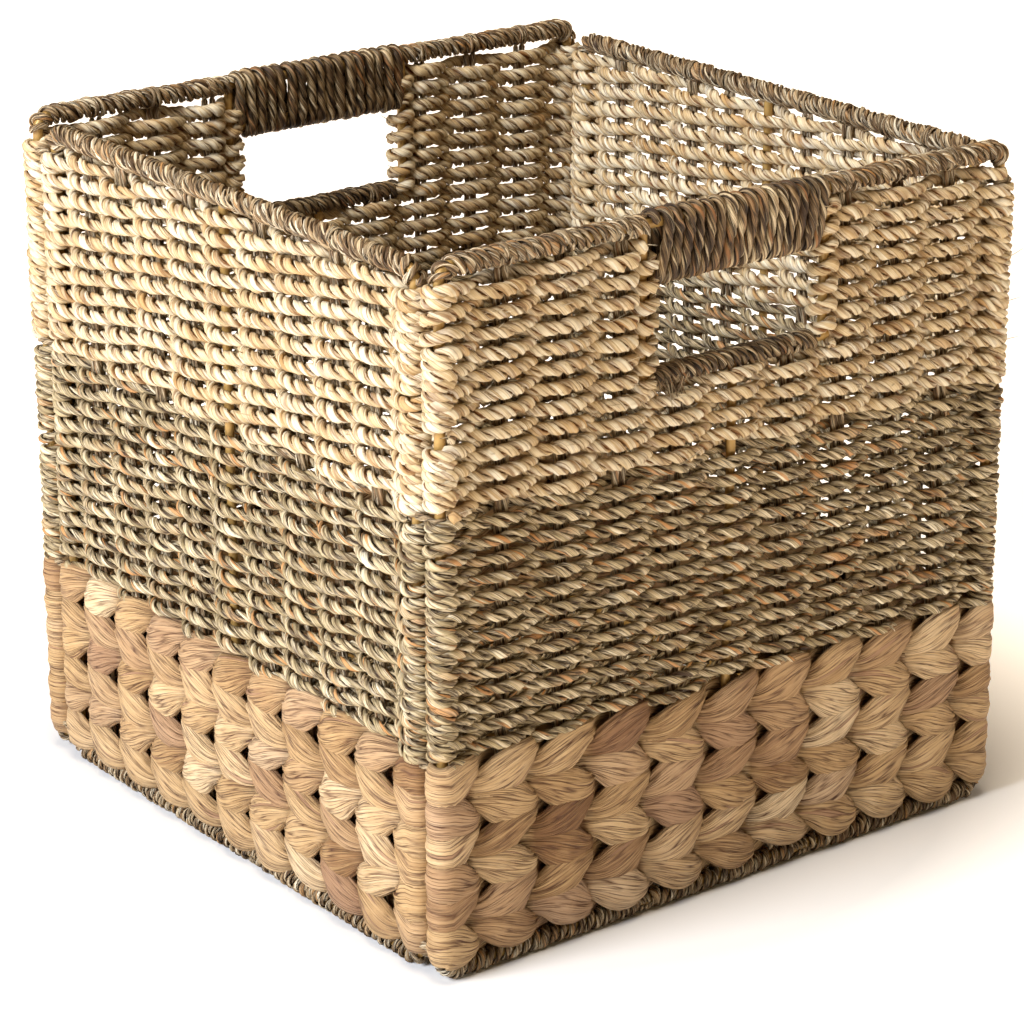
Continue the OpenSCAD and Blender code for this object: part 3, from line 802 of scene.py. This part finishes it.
def base_mat(material):
    """The base's plain weave, in rows along X that turn back round the two side rods."""
    piece = Piece("base_mat_ropes")
    rod_x, _, z = base_sizes()
    pitch = Panel("front").pitch
    low, high = box_mm("base_mat")
    count = int((high[1] - low[1]) / MAT["pitch"])
    ys = np.linspace(low[1] + MAT["pitch"] / 2, high[1] - MAT["pitch"] / 2, count)
    stakes_at = [(k * pitch, CORD_R - 0.4, 2.0) for k in STAKE_STEPS]
    uprights = [(-rod_x, WIRE_R - 0.6, 0.5), *stakes_at, (rod_x, WIRE_R - 0.6, 0.5)]
    shift = drift(piece.rng, 0.5, 30, 40)
    line, swell = serpentine(ys, uprights, 0, 0, MAT, piece.rng, shift, (0, 0), 0.96)
    path = np.stack([line[:, 0], line[:, 2], z + line[:, 1] * 0.9], 1)
    rope(piece, path, MAT["radius"], MAT["lay"], sides=6, step=MAT["step"], swell=swell,
         up=(0, 1, 0.0), shape=(0.75, 1.0))
    return piece.make(material, "base", "seagrass", "base_mat")


def base_rim(material):
    """Strands wound round the base's front and rear rods, with gaps for the hinge loops."""
    piece = Piece("base_rim_coil")
    rod_x, rod_y, z = base_sizes()
    back = Panel("back")
    for sign in (-1, 1):
        x = np.arange(-rod_x + 2, rod_x - 1.9, 0.5)
        axis = np.stack([x, sign * rod_y + 0 * x, z + 0 * x], 1)
        gaps = [(g - LOOP_W / 2 - 1.6, g + LOOP_W / 2 + 1.6) for g in loop_xs(back) if sign > 0]
        for run in cut_axis(axis, gaps):
            for k in (0, 1):
                line, out = coil_path(run, (0, 0, 1), WIRE_R + COIL_LIFT, COIL_PITCH, math.pi * k)
                rope(piece, line, up=out, **RIM_ROPE)
    return piece.make(material, "base", "rail_cord", "base_rim_wrap")


# ---- materials ----

class Nodes:
    """Short calls for building a node tree."""

    def __init__(self, name):
        self.material = bpy.data.materials.new(name)
        self.material.use_nodes = True
        self.tree = self.material.node_tree
        self.shader = self.tree.nodes["Principled BSDF"]

    def link(self, source, target):
        self.tree.links.new(source, target)

    def new(self, kind, **values):
        node = self.tree.nodes.new(kind)
        for key, value in values.items():
            setattr(node, key, value)
        return node

    def put(self, socket, value):
        if hasattr(value, "is_output"):
            self.link(value, socket)
        else:
            socket.default_value = value

    def maths(self, operation, a, b=0.0, clamp=False):
        node = self.new("ShaderNodeMath", operation=operation, use_clamp=clamp)
        self.put(node.inputs[0], a)
        self.put(node.inputs[1], b)
        return node.outputs[0]

    def noise(self, vector, scale, detail=3.0, rough=0.55):
        node = self.new("ShaderNodeTexNoise")
        self.link(vector, node.inputs["Vector"])
        node.inputs["Scale"].default_value = scale
        node.inputs["Detail"].default_value = detail
        node.inputs["Roughness"].default_value = rough
        return node.outputs["Fac"]

    def ramp(self, value, stops):
        node = self.new("ShaderNodeValToRGB")
        self.link(value, node.inputs[0])
        while len(node.color_ramp.elements) < len(stops):
            node.color_ramp.elements.new(0.5)
        for element, (at, colour) in zip(node.color_ramp.elements, stops):
            element.position = at
            element.color = (*colour, 1)
        return node.outputs[0]

    def mix(self, factor, a, b):
        node = self.new("ShaderNodeMix", data_type="RGBA", blend_type="MIX")
        self.put(node.inputs["Factor"], factor)
        self.put(node.inputs[6], a if hasattr(a, "is_output") else (*a, 1))
        self.put(node.inputs[7], b if hasattr(b, "is_output") else (*b, 1))
        return node.outputs[2]

    def relief(self, height, strength, distance):
        node = self.new("ShaderNodeBump")
        node.inputs["Strength"].default_value = strength
        node.inputs["Distance"].default_value = distance
        self.link(height, node.inputs["Height"])
        self.link(node.outputs[0], self.shader.inputs["Normal"])


def fibre_material(name, palette, fleck, shade_colour, girth=10.0, blade=(14.0, 1.6), streak=(40.0, 0.5),
                   own_tone=0.42, contrast=1.0, flecks=0.06, edge=0.6, sharp=7.0, rough=0.6, bump=0.8,
                   fold_shade_amount=0.8):
    """Plant fibre in blades, each with its own tone, and fine streaks; dark lines between them are
    painted shade.

    palette runs from dark to light; fleck colours the odd strand or blade; the next colour is painted
    shade for the lines and folds. blade and streak are length and width in mm; girth is the strand's,
    in mm. edge and sharp are the strength and thinness of the painted shade lines, flecks the share of
    odd blades, and the last argument how dark the painted shade in folds gets.
    """
    n = Nodes(name)
    look = n.new("ShaderNodeAttribute", attribute_name="looks")
    parts = n.new("ShaderNodeSeparateXYZ")
    n.link(look.outputs["Vector"], parts.inputs[0])
    tone, tint, fold_shade = parts.outputs
    uv = n.new("ShaderNodeUVMap", uv_map="fibre")
    split = n.new("ShaderNodeSeparateXYZ")
    n.link(uv.outputs[0], split.inputs[0])
    u, v = split.outputs[0], split.outputs[1]
    angle = n.maths("MULTIPLY", v, TAU)
    cos, sin = n.maths("COSINE", angle), n.maths("SINE", angle)

    def stretched(size):
        """Coordinates in which this length and width are one unit, with no seam round the strand."""
        vector = n.new("ShaderNodeCombineXYZ")
        across = girth / (TAU * size[1])
        n.link(n.maths("MULTIPLY", u, 1 / size[0]), vector.inputs[0])
        n.link(n.maths("MULTIPLY", cos, across), vector.inputs[1])
        n.link(n.maths("MULTIPLY", sin, across), vector.inputs[2])
        return vector.outputs[0]

    fine = n.noise(stretched(streak), 1.0, 3.0, 0.6)
    cell = n.new("ShaderNodeTexVoronoi")
    n.link(stretched(blade), cell.inputs["Vector"])
    cell.inputs["Scale"].default_value = 1.0
    rim = n.new("ShaderNodeTexVoronoi", feature="DISTANCE_TO_EDGE")
    n.link(stretched(blade), rim.inputs["Vector"])
    rim.inputs["Scale"].default_value = 1.0
    # dark lines along the blades' edges are painted shade between the blades; a noise breaks them into
    # dashes
    line = n.maths("SUBTRACT", 1.0, n.maths("MULTIPLY", rim.outputs["Distance"], sharp), True)
    line_breaks = n.noise(stretched((blade[0] * 0.4, blade[1] * 1.6)), 1.0, 2.0)
    line = n.maths("MULTIPLY", line, n.maths("MULTIPLY", n.maths("SUBTRACT", line_breaks, 0.32), 4.0, True))
    own = n.new("ShaderNodeSeparateColor")
    n.link(cell.outputs["Color"], own.inputs[0])
    place = n.new("ShaderNodeTexCoord").outputs["Object"]
    patch = n.noise(place, 90.0, 2.0)
    value = n.maths("ADD", 0.5, n.maths("MULTIPLY", tone, 0.16))
    for part, amount in ((own.outputs[0], own_tone), (fine, 1.1), (patch, 0.5)):
        change = n.maths("MULTIPLY", n.maths("SUBTRACT", part, 0.5), amount * contrast)
        value = n.maths("ADD", value, change)
    value = n.maths("MAXIMUM", n.maths("MINIMUM", value, 1.0), 0.0)
    last = len(palette) - 1
    colour = n.ramp(value, [(i / last, c) for i, c in enumerate(palette)])
    rare = n.maths("GREATER_THAN", own.outputs[1], 1 - flecks)
    share = n.maths("MAXIMUM", n.maths("MULTIPLY", tint, 0.85, True), n.maths("MULTIPLY", rare, 0.8))
    colour = n.mix(share, colour, fleck)
    # painted shade: folds and the lines between blades are mixed towards the shade colour
    painted_shade = n.maths("ADD", n.maths("MULTIPLY", fold_shade, fold_shade_amount), n.maths("MULTIPLY", line, edge), True)
    colour = n.mix(painted_shade, colour, shade_colour)
    n.link(colour, n.shader.inputs["Base Color"])
    n.link(n.maths("ADD", rough - 0.12, n.maths("MULTIPLY", fine, 0.24)), n.shader.inputs["Roughness"])
    n.shader.inputs["Specular IOR Level"].default_value = 0.4
    n.relief(n.maths("SUBTRACT", fine, n.maths("MULTIPLY", line, 0.6)), bump, 0.0006)
    return n.material


def wire_material():
    """Ochre-gold paint on steel wire, with faint runs and worn dull spots."""
    n = Nodes("gold_paint")
    place = n.new("ShaderNodeTexCoord").outputs["Object"]
    patch = n.noise(place, 140.0, 3.0)
    stops = [(0.3, (0.30, 0.17, 0.05)), (0.55, (0.46, 0.28, 0.08)), (0.8, (0.58, 0.38, 0.14))]
    n.link(n.ramp(patch, stops), n.shader.inputs["Base Color"])
    n.link(n.maths("ADD", 0.28, n.maths("MULTIPLY", patch, 0.3)), n.shader.inputs["Roughness"])
    n.shader.inputs["Metallic"].default_value = 0.25
    n.relief(n.noise(place, 500.0, 2.0), 0.25, 0.0003)
    return n.material


def floor_material():
    """Pale floor that glows softly away from the object, so that it stays white as in the photo."""
    n = Nodes("pale_floor")
    place = n.new("ShaderNodeTexCoord").outputs["Object"]
    n.link(n.ramp(n.noise(place, 3.0), [(0.0, (0.84, 0.84, 0.84)), (1.0, (0.87, 0.87, 0.87))]),
           n.shader.inputs["Base Color"])
    middle = n.new("ShaderNodeVectorMath", operation="LENGTH")
    n.link(place, middle.inputs[0])
    away = middle.outputs["Value"]
    rise = n.maths("MULTIPLY", n.maths("SUBTRACT", away, GLOW_START), GLOW_SLOPE)
    far = n.maths("MINIMUM", n.maths("MULTIPLY", away, FAR_SLOPE), FAR_MOST)
    near = n.maths("MAXIMUM", n.maths("MINIMUM", rise, 1.0), 0.0)
    glow = n.maths("ADD", near, n.maths("MAXIMUM", n.maths("SUBTRACT", far, FAR_START), 0.0))
    n.link(glow, n.shader.inputs["Emission Strength"])
    n.shader.inputs["Emission Color"].default_value = FLOOR_GLOW
    n.shader.inputs["Roughness"].default_value = 0.95
    n.shader.inputs["Specular IOR Level"].default_value = 0.0
    return n.material


def materials():
    """The fibre materials, by the kind of strand that they are for."""
    # in each, the colour after the fleck colour is painted shade for folds and the lines between blades
    return {
        "husk": fibre_material(
            "corn_husk_fibre",
            [(0.34, 0.19, 0.065), (0.64, 0.475, 0.25), (0.80, 0.685, 0.47), (0.93, 0.88, 0.73)],
            (0.56, 0.33, 0.12), (0.19, 0.07, 0.014),
            blade=(26.0, 2.6), contrast=1.05, flecks=0.025, edge=0.75),
        "seagrass": fibre_material(
            "seagrass_fibre",
            [(0.13, 0.075, 0.03), (0.44, 0.34, 0.175), (0.68, 0.54, 0.33), (0.94, 0.84, 0.61)],
            (0.56, 0.25, 0.07), (0.045, 0.02, 0.006),
            blade=(15.0, 1.5), contrast=1.4, flecks=0.07, edge=0.9, rough=0.5),
        "hyacinth": fibre_material(
            "water_hyacinth_stem",
            [(0.24, 0.115, 0.04), (0.50, 0.31, 0.135), (0.64, 0.435, 0.225), (0.80, 0.61, 0.375)],
            (0.36, 0.195, 0.11), (0.09, 0.03, 0.008),
            girth=46.0, blade=(26.0, 0.95), streak=(30.0, 0.32), own_tone=0.16, contrast=0.75,
            flecks=0.03, edge=0.85, sharp=8.0, bump=1.0, fold_shade_amount=0.5),
        "rail": fibre_material(
            "rail_seagrass",
            [(0.10, 0.048, 0.016), (0.345, 0.215, 0.098), (0.61, 0.45, 0.255), (0.93, 0.82, 0.60)],
            (0.50, 0.25, 0.08), (0.035, 0.016, 0.006),
            blade=(14.0, 1.4), own_tone=0.7, contrast=1.35, edge=0.9),
        "grip": fibre_material(
            "grip_seagrass",
            [(0.06, 0.028, 0.009), (0.185, 0.11, 0.045), (0.35, 0.23, 0.11), (0.76, 0.61, 0.38)],
            (0.34, 0.15, 0.05), (0.02, 0.01, 0.004),
            blade=(20.0, 1.5), own_tone=0.75, contrast=1.4, edge=0.95, fold_shade_amount=1.0),
        "stake": fibre_material(
            "stake_seagrass",
            [(0.16, 0.09, 0.04), (0.42, 0.29, 0.15), (0.62, 0.48, 0.29), (0.86, 0.74, 0.53)],
            (0.40, 0.20, 0.08), (0.05, 0.025, 0.01),
            blade=(30.0, 1.1), own_tone=0.8, contrast=1.3, edge=0.85),
        "tie": fibre_material(
            "tie_seagrass",
            [(0.16, 0.09, 0.04), (0.42, 0.30, 0.16), (0.62, 0.48, 0.30), (0.80, 0.69, 0.50)],
            (0.40, 0.22, 0.09), (0.06, 0.03, 0.012),
            blade=(14.0, 1.0), contrast=1.2),
    }


# ---- studio ----

def camera():
    """The camera at the photograph's viewing angle."""
    data = bpy.data.cameras.new("camera")
    data.lens = CAMERA_LENS
    data.sensor_width = CAMERA_SENSOR
    data.clip_start, data.clip_end = 0.05, 30
    ob = bpy.data.objects.new("camera", data)
    az, down = math.radians(CAMERA_AZIMUTH), math.radians(CAMERA_DOWN)
    look = Vector((math.sin(az) * math.cos(down), math.cos(az) * math.cos(down), -math.sin(down)))
    ob.location = CAMERA_PLACE
    ob.rotation_euler = look.to_track_quat("-Z", "Y").to_euler()
    bpy.context.scene.collection.objects.link(ob)
    bpy.context.scene.camera = ob


def area_light(name, place, target, size, power, colour):
    data = bpy.data.lights.new(name, "AREA")
    data.shape = "SQUARE"
    data.size = size
    data.energy = power
    data.color = colour
    ob = bpy.data.objects.new(name, data)
    ob.location = place
    ob.rotation_euler = (Vector(target) - Vector(place)).to_track_quat("-Z", "Y").to_euler()
    bpy.context.scene.collection.objects.link(ob)


def studio():
    """Soft lights, a pale floor, and a world that the camera sees as white and that lights dimly."""
    scene = bpy.context.scene
    scene.view_settings.view_transform = "Standard"
    world = bpy.data.worlds.new("studio")
    world.use_nodes = True
    tree = world.node_tree
    fill = tree.nodes["Background"]
    fill.inputs[0].default_value, fill.inputs[1].default_value = WORLD_FILL
    seen = tree.nodes.new("ShaderNodeBackground")
    seen.inputs[0].default_value = (1, 1, 1, 1)
    ray, either = tree.nodes.new("ShaderNodeLightPath"), tree.nodes.new("ShaderNodeMixShader")
    tree.links.new(ray.outputs["Is Camera Ray"], either.inputs[0])
    tree.links.new(fill.outputs[0], either.inputs[1])
    tree.links.new(seen.outputs[0], either.inputs[2])
    tree.links.new(either.outputs[0], tree.nodes["World Output"].inputs[0])
    scene.world = world
    for light in LIGHTS:
        area_light(*light)
    bpy.ops.mesh.primitive_plane_add(size=FLOOR_SIZE, location=(0, 0, 0))
    floor = bpy.context.object
    floor.name = "floor"
    floor.data.materials.append(floor_material())


def clear_scene():
    for ob in list(bpy.data.objects):
        bpy.data.objects.remove(ob)


# ---- main ----

clear_scene()
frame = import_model()
camera()
studio()
looks = materials()
gold = wire_material()
for node_name, node in frame["nodes"].items():
    if node_name.endswith("_frame"):
        node.data.materials.clear()
        node.data.materials.append(gold)
for side_name in PANELS:
    wall = Panel(side_name)
    plain_band(wall, "husk", HUSK, looks["husk"])
    plain_band(wall, "seagrass", SEAGRASS, looks["seagrass"])
    plait_band(wall, looks["hyacinth"])
    stakes(wall, looks["stake"])
    top_wrap(wall, looks["rail"])
    bottom_wrap(wall, looks["rail"])
    if wall.handle:
        grip_wrap(wall, looks["grip"])
        hole_wrap(wall, looks["grip"])
for corner in CORNERS:
    corner_ties(corner + "_ties", looks["tie"])
hinge_loops(looks["tie"])
slings(looks["tie"])
base_stakes(looks["stake"])
base_mat(looks["seagrass"])
base_rim(looks["rail"])
